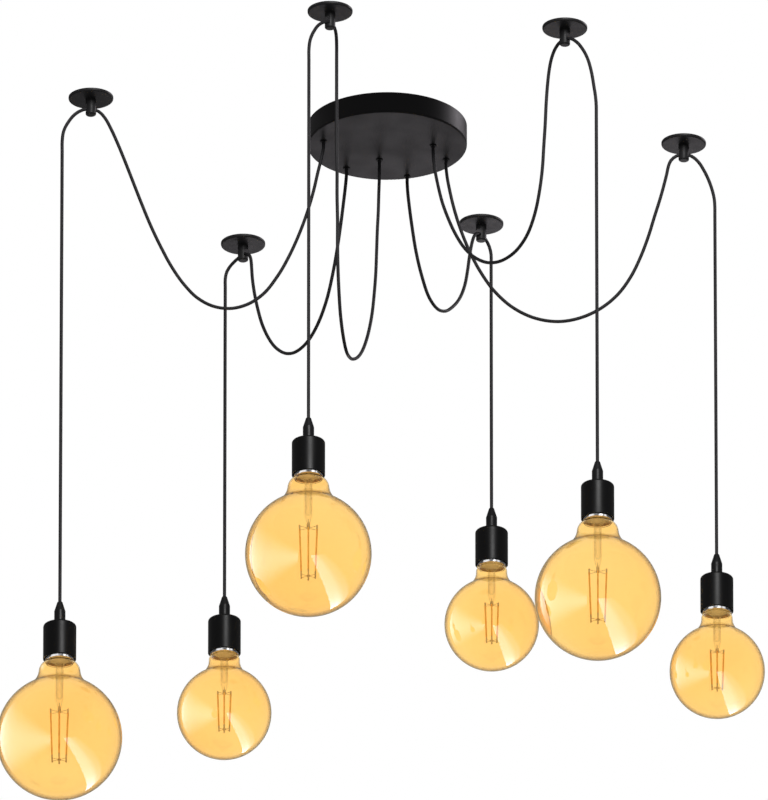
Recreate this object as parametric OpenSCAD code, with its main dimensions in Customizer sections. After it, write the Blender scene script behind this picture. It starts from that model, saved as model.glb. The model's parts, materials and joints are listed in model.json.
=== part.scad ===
// Spider pendant light: a ceiling canopy, six flexes swagged over ceiling hooks, six globe bulbs.
// Millimetres. The ceiling is the plane z = 0 and the canopy is centred on the z axis.
// +X is to the right, +Y is away from the viewer and everything hangs down along -Z.

/* [Flex] */
// Diameter of the round flex
flex_d = 3.4; // [3:0.1:3.8]

/* [Drops, from the end of the swag to the rim of the lamp holder] */
// Drop of light 1
drop_1 = 559; // [300:1:1500]
// Drop of light 2
drop_2 = 408; // [300:1:1500]
// Drop of light 3
drop_3 = 456; // [300:1:1500]
// Drop of light 4
drop_4 = 336; // [300:1:1500]
// Drop of light 5
drop_5 = 444; // [300:1:1500]
// Drop of light 6
drop_6 = 438; // [300:1:1500]

/* [Canopy] */
// Outside diameter of the canopy cup
canopy_d = 160; // [158:1:220]
// Height of the canopy cup
canopy_h = 22; // [20:0.5:40]
// Sheet thickness of the canopy cup
canopy_wall = 1.1; // [0.8:0.1:1.5]
// Outside radius of the canopy's lower edge
canopy_edge_r = 1.7; // [1.6:0.1:4]

/* [Outlet bushings] */
// Wall of the bushing where it passes through the canopy
bushing_wall = 0.8; // [0.5:0.1:1.2]
// Width of the bushing's two flanges beyond the hole
bushing_flange_w = 0.6; // [0.4:0.1:1.2]
// Thickness of each flange
bushing_flange_t = 0.8; // [0.5:0.1:1.2]

/* [Ceiling bracket] */
// Width of the strap
strap_w = 20; // [16:1:30]
// Thickness of the strap
strap_t = 2; // [1.5:0.25:3]
// Depth of the bent ears below the ceiling
ear_drop = 16; // [14:0.5:18]
// Distance between the two ceiling screw slots
slot_spacing = 120; // [100:1:126]
// Width of a ceiling screw slot
slot_w = 4.5; // [4:0.1:6.5]
// Length of a ceiling screw slot, end to end
slot_l = 12; // [8:0.5:16]
// Diameter of the supply cable's hole in the strap
cable_hole_d = 9; // [7:0.5:10]
// Distance of that hole from the canopy's axis
cable_hole_x = 33; // [30:1:38]
// Diameter of the canopy's side screws
side_screw_d = 4; // [3:0.5:5]
// Length of a side screw
side_screw_l = 9; // [7:0.5:14]
// Depth of the side screws below the ceiling
side_screw_drop = 10; // [7:0.5:11]

/* [Terminal block] */
// Length of the block
block_l = 42; // [40:1:44]
// Width of the block
block_w = 18; // [16:1:20]
// Height of the block
block_h = 12; // [9:0.5:14]
// Number of screw wells along the block
well_count = 6; // [3:1:8]
// Diameter of a screw well
well_d = 4; // [2.5:0.1:4.4]
// Depth of a screw well
well_depth = 3; // [1:0.5:5]
// Diameter of the supply wires' entries
supply_hole_d = 3; // [2:0.1:4]
// Depth of the supply wires' entries
supply_hole_l = 5; // [3:0.5:7]

/* [Ceiling hooks] */
// Diameter of the hook's rosette
hook_disc_d = 45; // [30:1:60]
// Thickness of the rosette at its edge
hook_disc_t = 3; // [2:0.5:4]
// Diameter of the hook's stem
hook_stem_d = 10.6; // [10:0.2:16]
// Depth of the stem's end below the ceiling
hook_h = 20; // [18.5:0.5:26]
// Radius of the stem's lower edge
hook_edge_r = 1.6; // [0.5:0.1:2]
// Width of the notch that the flex lies in
hook_slot_w = 5; // [4.6:0.1:6]
// Height of the hook's lip above the middle of the seated flex
hook_lip = 0.6; // [0:0.1:1]
// Height of the way in above the lip
hook_entry_h = 3.9; // [3.9:0.1:4.2]
// Radius of the rounded seat under the flex
hook_seat_r = 12; // [9:0.5:13]
// Diameter of the tapped hole for the hanger bolt
hook_bolt_d = 4.2; // [3:0.1:5]
// Depth of the tapped hole
hook_bolt_l = 6.5; // [5:0.5:7]

/* [Cord grip] */
// Diameter of the grip's body
grip_d = 11.2; // [10.5:0.1:16]
// Height of the grip's body above the holder
grip_body_h = 15; // [8:0.5:25]
// Height of the grip's cone
grip_cone_h = 10; // [6:0.5:15]
// Diameter of the cone at its tip
grip_tip_d = 5.2; // [4.8:0.1:7]
// Thread diameter of the grip's spigot
grip_thread_d = 10; // [8:0.5:10.4]
// Width of the lock nut across its flats
nut_af = 14; // [12:0.5:16]
// Thickness of the lock nut
nut_t = 3; // [2:0.25:3.5]

/* [Lamp holder] */
// Outside diameter of the holder's sleeve
sleeve_d = 33; // [32:0.5:45]
// Height of the sleeve
sleeve_h = 37; // [33.5:0.5:50]
// Wall of the sleeve
sleeve_wall = 1; // [0.6:0.1:1.2]
// Thickness of the sleeve's top
sleeve_top_t = 1.5; // [1:0.25:3]
// Radius of the sleeve's upper edge
sleeve_edge_r = 2.5; // [0.5:0.25:4]

/* [Socket] */
// Wall round the wiring space
wiring_wall = 3.4; // [1:0.2:4.6]
// Thickness of the divider
divider_t = 2; // [1.5:0.25:3]
// Thickness of the centre contact
contact_t = 1; // [0.5:0.25:1.5]
// Diameter of the centre contact
contact_d = 7; // [5:0.5:9]
// Height of the screw shell
shell_h = 18; // [12:0.5:19]
// Thickness of the screw shell
shell_t = 0.8; // [0.4:0.1:1]

/* [Bulb cap] */
// Height of the cap's skirt that shows below the holder's rim
cap_reveal = 3; // [0:0.25:3.5]
// Outside diameter of the cap's thread
cap_d = 26.4; // [25.6:0.1:26.8]
// Length of the cap, from the lower edge of its skirt to its contact
cap_l = 27.2; // [25:0.2:28]
// Height of the cap's skirt
skirt_h = 4; // [2.5:0.25:5]
// Outside diameter of the skirt
skirt_d = 29.6; // [28:0.2:30.4]
// Sheet thickness of the cap
cap_wall = 0.6; // [0.4:0.1:0.8]

/* [Large globes] */
// Diameter of a large globe
large_globe_d = 125; // [110:1:150]
// Diameter of its neck
large_neck_d = 41; // [36:1:46]
// Height of the neck's shoulder above the globe's centre
large_neck_h = 71.5; // [68:0.5:78]
// Radius of the flare from neck to globe
large_flare_r = 25; // [20:1:30]
// Radius of the shoulder below the cap
large_shoulder_r = 11; // [9:0.5:12]

/* [Small globes] */
// Diameter of a small globe
small_globe_d = 95; // [90:1:105]
// Diameter of its neck
small_neck_d = 31.2; // [31:0.2:36]
// Height of the neck's shoulder above the globe's centre
small_neck_h = 58; // [56:0.5:62]
// Radius of the flare from neck to globe
small_flare_r = 20; // [16:1:24]
// Radius of the shoulder below the cap
small_shoulder_r = 6; // [5.5:0.5:8]

/* [Glass and filaments] */
// Wall of the glass
glass_wall = 0.9; // [0.6:0.1:1.2]
// Distance from the cap's skirt down to the glass shoulder
glass_reveal = 1; // [0.5:0.25:4]
// Diameter of the glass stem
stem_d = 8; // [6:0.5:10]
// Number of filament sticks in a bulb
stick_count = 6; // [4:1:8]
// Diameter of a filament stick
stick_d = 1.6; // [1:0.1:2.4]
// Diameter of the support wires
wire_d = 0.8; // [0.5:0.1:1.2]

/* [Hidden] */
$fn = 64;
LIGHTS = [1:6];

// Colours as the photograph shows them
black = "#1b1b1d";
flex_black = "#151516";
steel = "#b9bcc0";
chrome = "#d8dadd";
porcelain = "#e6e1d6";
amber = [1, 0.76, 0.35, 0.55];
filament_orange = "#e08a2c";

// Clearances
eps = 0.01;
cut = 1;
joint_gap = 0.02;
bore_gap = 0.3;
hole_gap = 0.05;
nut_gap = 0.02;
ear_gap = 0.6;
core_gap = 0.1;
thread_gap = 0.3;
contact_gap = 0.3;
skirt_gap = 1.5;
seat_gap = 0.4;
glass_gap = 0.1;
screw_hole_gap = 0.2;

// Flex and canopy
flex_r = flex_d / 2;
canopy_r = canopy_d / 2;
canopy_bore_r = canopy_r - canopy_wall;
bushing_bore_r = flex_r + bore_gap;
bushing_r = bushing_bore_r + bushing_wall;
outlet_r = bushing_r + hole_gap;
flange_r = outlet_r + bushing_flange_w;
ear_x = sqrt(pow(canopy_bore_r - ear_gap, 2) - pow(strap_w / 2, 2));
block_top = -strap_t;

// Lamp holder, with heights measured up from the plane of its rim
sleeve_r = sleeve_d / 2;
sleeve_bore_r = sleeve_r - sleeve_wall;
cap_foot = -cap_reveal;
cap_tip = cap_foot + cap_l;
contact_foot = cap_tip + contact_gap;
divider_foot = contact_foot + contact_t;
divider_top = divider_foot + divider_t;
core_top = sleeve_h - sleeve_top_t;
wiring_h = core_top - divider_top;
skirt_top = cap_foot + skirt_h;
core_foot = skirt_top + skirt_gap;
core_r = sleeve_bore_r - core_gap;
shell_bore_r = cap_d / 2 + thread_gap;
core_bore_r = shell_bore_r + shell_t;
grip_top = sleeve_h + grip_body_h + grip_cone_h;
nut_foot = core_top - nut_t;

// Glass neck inside the cap's skirt
collar_r = skirt_d / 2 - cap_wall - glass_gap;
collar_top = skirt_top - cap_wall - glass_gap;
tip_z = cap_foot - glass_reveal;

// Each globe: [radius, neck radius, shoulder height, flare radius, shoulder radius]
LARGE = [large_globe_d / 2, large_neck_d / 2, large_neck_h, large_flare_r, large_shoulder_r];
SMALL = [small_globe_d / 2, small_neck_d / 2, small_neck_h, small_flare_r, small_shoulder_r];
GLOBES = [LARGE, SMALL, LARGE, SMALL, LARGE, SMALL];
DROPS = [drop_1, drop_2, drop_3, drop_4, drop_5, drop_6];

// Centre of each hook's flex seat, and the turn of the notch about the stem
HOOKS = [[-297, -68, -13], [-146, 274, -13], [-57, -268, -13], [95, 227, -13], [177, -230, -13], [298, 38, -13]];
HOOK_TURNS = [12, -53, 60, 59, -46, 0];

// Where each flex leaves the canopy's face
OUTLETS = [[-64, -11], [-41, 52], [-8, 32], [20, 71], [46, -1], [59, 32]];

// Where each swag ends and the drop starts to swing
PIVOTS = [[-325.5, -75, -63], [-164, 288, -42], [-78, -285, -62], [105, 240, -38], [208, -249, -105], [329, 38, -80]];

// Route of each flex inside the canopy, from the terminal block down through its outlet
CANOPY_RUNS = [
    [[-21, -7, -5], [-30, -7, -5], [-39, -8.7, -5], [-48, -10.4, -5], [-56, -11, -7.2], [-61.9, -11, -13],
     [-64, -11, -21], [-64, -11, -28]],
    [[-15, 9, -5], [-15, 17, -5], [-17, 25, -5], [-22, 33, -5], [-29.7, 40.7, -5], [-35.3, 46.3, -7.2],
     [-39.5, 50.5, -13], [-41, 52, -21], [-41, 52, -28]],
    [[-8, 9, -5], [-8, 16, -5], [-8, 24, -7.2], [-8, 29.9, -13], [-8, 32, -21], [-8, 32, -28]],
    [[8, 9, -5], [8, 20, -5], [9.5, 32, -5], [12.2, 44, -5], [15.7, 55.6, -5], [17.8, 63.3, -7.2],
     [19.4, 69, -13], [20, 71, -21], [20, 71, -28]],
    [[21, -1, -5], [30, -1, -5], [38, -1, -7.2], [43.9, -1, -13], [46, -1, -21], [46, -1, -28]],
    [[16, 9, -5], [16, 16.5, -5], [19.2, 23.5, -5], [25.5, 28.5, -5], [34, 31.2, -5], [43, 32, -5],
     [51, 32, -7.2], [56.9, 32, -13], [59, 32, -21], [59, 32, -28]]
];

// Route of each swag, from under its outlet up to its hook
SWAGS = [
    [[-66, -11.5, -40], [-69.5, -12, -56], [-74, -13, -78], [-79.5, -15, -100], [-87, -17, -124], [-97, -19, -150],
     [-110, -22.5, -177], [-125, -26, -199], [-141, -30, -212], [-158, -34, -218], [-175, -38, -217],
     [-190, -42, -210], [-203, -45, -197], [-216, -48, -178], [-227, -51, -157], [-237, -53.5, -135],
     [-246, -55.5, -112], [-255, -58, -88], [-264, -60.5, -64], [-271.5, -62, -45], [-277.5, -63.5, -31.5],
     [-283, -65, -21.5], [-289, -66.4, -15.2]],
    [[-42, 54, -40], [-44, 58, -57], [-47, 65, -80], [-50.5, 72, -103], [-55, 82, -126], [-61, 95, -148],
     [-69, 111, -165], [-79, 132, -175], [-90, 155, -176], [-101, 179, -168], [-111, 200, -153], [-119, 218, -134],
     [-126, 231, -112], [-131, 242, -88], [-134.5, 250, -66], [-136.5, 256, -47], [-137.2, 259.3, -35],
     [-137.8, 261, -26], [-138.9, 263.3, -19.8], [-141.8, 268.1, -14.8]],
    [[-8, 31, -42], [-8.5, 29, -60], [-9, 27, -81], [-10, 23, -105], [-10.7, 18, -130], [-11.5, 11, -157],
     [-13, 1, -184], [-15, -11, -211], [-18, -29, -238], [-22, -52, -265], [-27, -82, -291], [-32.5, -114, -311],
     [-37, -142, -323], [-41, -168, -327], [-44, -188, -320], [-46.5, -203, -305], [-48, -213, -285],
     [-49, -219, -262], [-49.5, -222, -237], [-49.5, -223, -210], [-50, -225, -183], [-50, -226, -156],
     [-50.5, -227, -130], [-50.5, -228, -105], [-50.5, -228, -82], [-50.5, -229, -62], [-50.5, -230, -47],
     [-50.5, -232.5, -34], [-50.5, -237, -24], [-50.8, -244, -17.5], [-51.7, -252, -14.5], [-53.6, -260.5, -13.3]],
    [[20.5, 72, -38], [22, 75, -52], [25, 81, -74], [29, 90, -97], [35, 102, -119], [42, 117, -134.5],
     [50, 134, -139], [58, 151, -134], [66, 167, -121.5], [73.5, 182, -104], [78.5, 193, -84], [81.2, 199, -65],
     [83, 202.5, -49], [84.8, 205.8, -36], [86.5, 209.5, -26.5], [88.6, 214.2, -19], [91.5, 220.5, -14.5]],
    [[46.5, -2, -38], [48, -5, -52], [51, -10, -71], [55, -17, -92], [61, -27, -115], [68.5, -40, -139],
     [78, -57, -163], [90, -78, -184], [103, -101, -199], [117, -125, -206.5], [130, -147, -205.5],
     [140, -165, -197], [147, -177.5, -181], [151.5, -186, -161], [154.5, -191, -138], [156, -194, -114],
     [157.5, -196, -90], [158.5, -198, -68], [159.7, -200, -51], [161.2, -203, -37], [163.2, -207.5, -26.5],
     [166.5, -214, -18.5], [171.2, -222.5, -14.3]],
    [[60, 32, -40], [62.5, 32, -55], [67, 32, -76], [73.5, 32, -99], [82, 32.5, -122], [93, 33, -145],
     [108, 33, -168], [127, 33.5, -186], [149, 34, -197], [172, 35, -200], [194, 35.5, -195.5], [214, 36, -185],
     [231, 36.5, -169.5], [244, 37, -150], [254, 37, -128], [262, 37, -105], [268.5, 37, -82], [274.5, 37.5, -61],
     [278.5, 38, -45], [281, 38, -34], [282.6, 38, -26], [285.1, 38, -19.8], [290.7, 38, -14.8]]
];

// Route of each flex from its hook to the point where the drop starts
TURNS_DOWN = [
    [[-305, -70, -15], [-312.8, -72, -20.8], [-319, -73.5, -29.5], [-324, -74.7, -40.5], [-325.5, -75, -52]],
    [[-151, 279.7, -14.5], [-157.3, 284.8, -18.6], [-162.3, 287.3, -25.5], [-164, 288, -33.5]],
    [[-61.8, -274, -15.2], [-67.8, -278.5, -20.5], [-73, -282, -29.5], [-76.7, -284.3, -40], [-78, -285, -51]],
    [[99.4, 233.4, -15.1], [103.1, 238, -20.9], [105, 240, -29]],
    [[183, -234.7, -15], [188.8, -238.2, -20.5], [194.2, -241.2, -29], [199.3, -244.2, -41], [203, -246.5, -56],
     [205.7, -248, -74], [207.5, -248.8, -88], [208, -249, -97]],
    [[305.8, 38, -15], [312.4, 38, -21], [317.8, 38, -30], [322.7, 38, -41], [326.5, 38, -53], [328.5, 38, -63],
     [329, 38, -71]]
];

// The tube's sides, and the distance between its rings in flex diameters
FLEX_SIDES = 8;
RING_STEP = 3;

function unit(v) = v / norm(v);

// A swag's whole route ends just above the ball at the head of its drop
function flex_route(i) = concat(
    CANOPY_RUNS[i - 1], SWAGS[i - 1], [HOOKS[i - 1]], TURNS_DOWN[i - 1],
    [PIVOTS[i - 1] + [0, 0, flex_r + joint_gap]]
);

// Heading at point k: the tangent of the circle through it and its two neighbours
function heading(p, k) =
    k == 0 ? unit(p[1] - p[0]) :
    k == len(p) - 1 ? unit(p[k] - p[k - 1]) :
    let (back = p[k] - p[k - 1], ahead = p[k + 1] - p[k])
    unit(back / (back * back) + ahead / (ahead * ahead));

// Point at share t of the smooth curve from a to b that leaves along u and arrives along v
function curve_point(a, u, b, v, t) =
    let (span = norm(b - a))
    a * (1 + 2 * t) * pow(1 - t, 2) + b * (3 - 2 * t) * t * t
    + u * span * t * pow(1 - t, 2) - v * span * (1 - t) * t * t;

// Ring centres along the smooth curve through route points p
function ring_centres(p, step) = concat(
    [for (k = [0 : len(p) - 2])
        let (count = max(1, round(norm(p[k + 1] - p[k]) / step)))
        for (j = [0 : count - 1])
            curve_point(p[k], heading(p, k), p[k + 1], heading(p, k + 1), j / count)],
    [p[len(p) - 1]]
);

// One side direction per ring, carried along the curve without twist
function side_directions(dirs) = [
    for (k = 0, side = unit(cross(dirs[0], [0.3, 0.2, 1])); k < len(dirs);
         k = k + 1, side = k < len(dirs) ? unit(side - (side * dirs[k]) * dirs[k]) : side)
        side
];

// A round tube swept along a route, closed at both ends
module flex_tube(route, r) {
    centres = ring_centres(route, RING_STEP * 2 * r);
    rings = len(centres);
    dirs = [for (k = [0 : rings - 1]) heading(centres, k)];
    sides = side_directions(dirs);
    points = [
        for (k = [0 : rings - 1])
            let (across = cross(dirs[k], sides[k]))
            for (j = [0 : FLEX_SIDES - 1])
                let (a = 360 * j / FLEX_SIDES)
                centres[k] + r * (cos(a) * sides[k] + sin(a) * across)
    ];
    start_cap = [for (j = [0 : FLEX_SIDES - 1]) j];
    end_cap = [for (j = [FLEX_SIDES - 1 : -1 : 0]) (rings - 1) * FLEX_SIDES + j];
    walls = [
        for (k = [0 : rings - 2]) for (j = [0 : FLEX_SIDES - 1])
            let (a = k * FLEX_SIDES + j, b = k * FLEX_SIDES + (j + 1) % FLEX_SIDES)
            each [[a, a + FLEX_SIDES, b + FLEX_SIDES], [a, b + FLEX_SIDES, b]]
    ];
    polyhedron(points = points, faces = concat([start_cap, end_cap], walls));
}

// Height of the rim of light i's holder, and the frame of the pendant below its pivot
function rim_z(i) = PIVOTS[i - 1].z - DROPS[i - 1];

module at_holder(i) {
    translate([PIVOTS[i - 1].x, PIVOTS[i - 1].y, rim_z(i)]) children();
}

// Half section of a flat-topped disc hanging from z = 0 with a rounded lower edge
module hanging_section(r, h, edge_r) {
    translate([0, -h]) square([r - edge_r, h]);
    translate([0, -h + edge_r]) square([r, h - edge_r]);
    translate([r - edge_r, -h + edge_r]) circle(edge_r);
}

// Cup of pressed sheet, open to the ceiling, with six outlets in its face and two side screw holes
module canopy_cup() {
    inner_edge_r = canopy_edge_r - canopy_wall;
    color(black)
    difference() {
        rotate_extrude() difference() {
            hanging_section(canopy_r, canopy_h, canopy_edge_r);
            hanging_section(canopy_bore_r, canopy_h - canopy_wall, inner_edge_r);
        }
        for (p = OUTLETS) {
            translate([p.x, p.y, -canopy_h - cut])
                cylinder(r = outlet_r, h = canopy_wall + 2 * cut);
        }
        for (side = [0, 180]) {
            rotate([0, 0, side]) translate([canopy_bore_r - cut, 0, -side_screw_drop]) rotate([0, 90, 0])
                cylinder(r = side_screw_d / 2 + screw_hole_gap, h = canopy_wall + 2 * cut);
        }
    }
}

// Round-ended slot along X
module slot(length, width, depth) {
    for (x = [-1, 1] * (length - width) / 2) {
        translate([x, 0, 0]) cylinder(d = width, h = depth);
    }
    translate([-(length - width) / 2, -width / 2, 0]) cube([length - width, width, depth]);
}

// Strap screwed to the ceiling, with an ear bent down at each end for the side screws
module ceiling_bracket() {
    color(steel)
    difference() {
        union() {
            translate([-ear_x, -strap_w / 2, -strap_t]) cube([2 * ear_x, strap_w, strap_t]);
            for (x = [-ear_x, ear_x - strap_t]) {
                translate([x, -strap_w / 2, -ear_drop]) cube([strap_t, strap_w, ear_drop]);
            }
        }
        for (x = [-1, 1] * slot_spacing / 2) {
            translate([x, 0, -strap_t - cut]) slot(slot_l, slot_w, strap_t + 2 * cut);
        }
        translate([-cable_hole_x, 0, -strap_t - cut]) cylinder(d = cable_hole_d, h = strap_t + 2 * cut);
        for (x = [-ear_x - cut, ear_x - strap_t - cut]) {
            translate([x, 0, -side_screw_drop]) rotate([0, 90, 0])
                cylinder(d = side_screw_d, h = strap_t + 2 * cut);
        }
    }
}

// Two socket-head grub screws, flush with the outside of the canopy
module canopy_screws() {
    socket_d = side_screw_d / 2;
    socket_l = side_screw_d / 2;
    color(black)
    for (side = [0, 180]) {
        rotate([0, 0, side]) translate([canopy_r - side_screw_l, 0, -side_screw_drop]) rotate([0, 90, 0])
        difference() {
            cylinder(d = side_screw_d, h = side_screw_l - screw_hole_gap);
            translate([0, 0, side_screw_l - socket_l]) cylinder(d = socket_d, h = socket_l + cut, $fn = 6);
        }
    }
}

// Moulded block under the strap, with screw wells below and the supply wires' entries in front
module terminal_block() {
    well_pitch = block_l / well_count;
    supply_drop = block_h / 2;
    color(porcelain)
    difference() {
        translate([-block_l / 2, -block_w / 2, block_top - block_h]) cube([block_l, block_w, block_h]);
        for (k = [0 : well_count - 1]) for (y = [-1, 1] * block_w / 4) {
            translate([(k + 0.5) * well_pitch - block_l / 2, y, block_top - block_h - cut])
                cylinder(d = well_d, h = well_depth + cut);
        }
        for (x = [-1, 0, 1] * block_l / 4) {
            translate([x, -block_w / 2 - cut, block_top - supply_drop]) rotate([-90, 0, 0])
                cylinder(d = supply_hole_d, h = supply_hole_l + cut);
        }
    }
}

// Flanged bushing in each outlet
module cord_bushings() {
    face_z = -canopy_h;
    color(black)
    for (p = OUTLETS) {
        translate([p.x, p.y, face_z]) difference() {
            union() {
                translate([0, 0, -bushing_flange_t]) cylinder(r = flange_r, h = bushing_flange_t);
                translate([0, 0, -bushing_flange_t]) cylinder(r = bushing_r, h = canopy_wall + 2 * bushing_flange_t);
                translate([0, 0, canopy_wall]) cylinder(r = flange_r, h = bushing_flange_t);
            }
            translate([0, 0, -bushing_flange_t - cut])
                cylinder(r = bushing_bore_r, h = canopy_wall + 2 * bushing_flange_t + 2 * cut);
        }
    }
}

// Notch of a hook: open behind, over a lip, with a rounded seat for the flex to lie on.
// The flex runs along X and z = 0 is the middle of the seated flex.
module flex_notch() {
    seat_top = -flex_r - seat_gap;
    roof = hook_lip + hook_entry_h;
    depth = hook_stem_d / 2 + cut;
    seat_drop = hook_seat_r - sqrt(pow(hook_seat_r, 2) - pow(hook_stem_d / 2, 2));
    difference() {
        translate([-depth, -hook_slot_w / 2, seat_top - seat_drop - eps])
            cube([2 * depth, hook_slot_w, roof - seat_top + seat_drop + eps]);
        translate([0, hook_slot_w, seat_top - hook_seat_r]) rotate([90, 0, 0])
            cylinder(r = hook_seat_r, h = 2 * hook_slot_w);
    }
    translate([-depth, 0, hook_lip]) cube([2 * depth, depth, hook_entry_h]);
}

// One ceiling hook: rosette, stem, notch for the flex and a tapped hole for the hanger bolt
module ceiling_hook(turn) {
    stem_r = hook_stem_d / 2;
    difference() {
        rotate_extrude() {
            hanging_section(hook_disc_d / 2, hook_disc_t, hook_disc_t / 2);
            hanging_section(stem_r, hook_h, hook_edge_r);
        }
        translate([0, 0, HOOKS[0].z]) rotate([0, 0, turn]) flex_notch();
        translate([0, 0, -hook_bolt_l]) cylinder(d = hook_bolt_d, h = hook_bolt_l + cut);
    }
}

module ceiling_hooks() {
    color(black)
    for (k = [0 : len(HOOKS) - 1]) {
        translate([HOOKS[k].x, HOOKS[k].y, 0]) ceiling_hook(HOOK_TURNS[k]);
    }
}

module swag_cord(i) {
    color(flex_black) flex_tube(flex_route(i), flex_r);
}

// Straight drop, round at its head so that it can swing, ending on the socket's divider
module drop_cord(i) {
    color(flex_black) at_holder(i) {
        translate([0, 0, divider_top]) cylinder(r = flex_r, h = DROPS[i - 1] - divider_top);
        translate([0, 0, DROPS[i - 1]]) sphere(r = flex_r);
    }
}

// Grip with a threaded spigot through the holder's top, and its lock nut below
module cord_grip(i) {
    grip_r = grip_d / 2;
    spigot_r = grip_thread_d / 2;
    spigot_foot = nut_foot - hole_gap;
    color(black) at_holder(i) {
        difference() {
            union() {
                translate([0, 0, sleeve_h]) cylinder(r = grip_r, h = grip_body_h);
                translate([0, 0, sleeve_h + grip_body_h])
                    cylinder(r1 = grip_r, r2 = grip_tip_d / 2, h = grip_cone_h);
                translate([0, 0, spigot_foot]) cylinder(r = spigot_r, h = sleeve_h - spigot_foot);
            }
            translate([0, 0, spigot_foot - cut])
                cylinder(r = flex_r + hole_gap, h = grip_top - spigot_foot + 2 * cut);
        }
        translate([0, 0, nut_foot]) difference() {
            cylinder(d = nut_af / cos(30), h = nut_t, $fn = 6);
            translate([0, 0, -cut]) cylinder(r = spigot_r + nut_gap, h = nut_t + 2 * cut);
        }
    }
}

// Sleeve of the lamp holder, open below, with a rounded upper edge
module lamp_holder(i) {
    color(black) at_holder(i)
    difference() {
        rotate_extrude() mirror([0, 1]) hanging_section(sleeve_r, sleeve_h, sleeve_edge_r);
        translate([0, 0, -cut]) cylinder(r = sleeve_bore_r, h = core_top + cut);
        translate([0, 0, core_top - cut]) cylinder(r = grip_thread_d / 2 + hole_gap, h = sleeve_top_t + 2 * cut);
    }
}

// Insulating core: a wiring space above the divider and the bore for the screw shell below
module socket_core(i) {
    color(porcelain) at_holder(i)
    difference() {
        translate([0, 0, core_foot]) cylinder(r = core_r, h = core_top - core_foot);
        translate([0, 0, divider_top]) cylinder(r = core_r - wiring_wall, h = wiring_h + cut);
        translate([0, 0, core_foot - cut]) cylinder(r = core_bore_r, h = divider_foot - core_foot + cut);
    }
}

// Screw shell in the core's bore, and the centre contact under the divider
module socket_contacts(i) {
    color(steel) at_holder(i) {
        translate([0, 0, core_foot]) difference() {
            cylinder(r = core_bore_r, h = shell_h);
            translate([0, 0, -cut]) cylinder(r = shell_bore_r, h = shell_h + 2 * cut);
        }
        translate([0, 0, contact_foot]) cylinder(d = contact_d, h = contact_t);
    }
}

// Bulb cap: skirt, threaded barrel, insulator cone and contact button
module bulb_cap(i) {
    cap_r = cap_d / 2;
    button_h = 1;
    button_r = 4.5;
    cone_h = 3.5;
    barrel_top = cap_tip - button_h - cone_h;
    color(chrome) at_holder(i)
    difference() {
        union() {
            translate([0, 0, cap_foot]) cylinder(d = skirt_d, h = skirt_h);
            translate([0, 0, cap_foot]) cylinder(r = cap_r, h = barrel_top - cap_foot);
            translate([0, 0, barrel_top]) cylinder(r1 = cap_r, r2 = button_r, h = cone_h);
            translate([0, 0, cap_tip - button_h]) cylinder(r = button_r, h = button_h);
        }
        translate([0, 0, cap_foot - cut]) cylinder(d = skirt_d - 2 * cap_wall, h = skirt_h - cap_wall + cut);
        translate([0, 0, cap_foot]) cylinder(r = cap_r - cap_wall, h = barrel_top - cap_foot - cap_wall);
    }
}

// Centre of the flare's circle, tangent to the globe and to the neck
function flare_centre(g) = let (r = g[1] + g[3]) [r, sqrt(pow(g[0] + g[3], 2) - r * r)];

// Centre of the shoulder's circle, tangent to the flare
function shoulder_centre(g) =
    let (flare = flare_centre(g))
    [flare.x - sqrt(pow(g[3] + g[4], 2) - pow(flare.y - g[2], 2)), g[2]];

// Height above the globe's centre where the shoulder has closed in to the collar
function tip_height(g) =
    let (shoulder = shoulder_centre(g))
    shoulder.y + sqrt(pow(g[4], 2) - pow(collar_r - shoulder.x, 2));

function globe_z(i) = tip_z - tip_height(GLOBES[i - 1]);

// Half section of the solid bulb shape, made smaller all round by inset
module globe_section(g, inset, collar_h) {
    flare = flare_centre(g);
    shoulder = shoulder_centre(g);
    intersection() {
        union() {
            circle(g[0] - inset, $fn = 96);
            difference() {
                polygon([[0, 0], flare, shoulder, [0, shoulder.y]]);
                translate(flare) circle(g[3] + inset);
            }
            translate(shoulder) circle(g[4] - inset);
            translate([0, shoulder.y]) square([collar_r - inset, collar_h]);
        }
        translate([0, -g[0]]) square([g[0], 3 * g[0]]);
    }
}

// Blown glass: globe, flared neck and the collar that stands in the cap's skirt
module bulb_globe(i) {
    g = GLOBES[i - 1];
    collar_h = collar_top - globe_z(i) - g[2];
    color(amber) at_holder(i) translate([0, 0, globe_z(i)])
    rotate_extrude() difference() {
        globe_section(g, 0, collar_h);
        globe_section(g, glass_wall, collar_h + cut);
    }
}

// Straight round rod between two points
module rod(a, b, d) {
    along = b - a;
    turn = atan2(along.y, along.x);
    tilt = acos(along.z / norm(along));
    translate(a) rotate([0, tilt, turn]) cylinder(d = d, h = norm(along));
}

// Half section of the glass stem, its flare, the centre wire and the two beads that hold the spokes
module stem_section(top, foot, bead_heights) {
    flare_h = 8;
    flare_r = collar_r - glass_wall - glass_gap;
    bead_r = 1.6;
    bead_h = 2.4;
    polygon([[0, top], [flare_r, top], [stem_d / 2, top - flare_h], [stem_d / 2, foot], [0, foot]]);
    intersection() {
        translate([0, foot]) circle(d = stem_d);
        translate([0, foot - stem_d]) square([stem_d, 2 * stem_d]);
    }
    translate([0, bead_heights[1]]) square([wire_d / 2, foot - bead_heights[1]]);
    for (z = bead_heights) {
        translate([0, z - bead_h / 2]) square([bead_r, bead_h]);
    }
}

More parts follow.
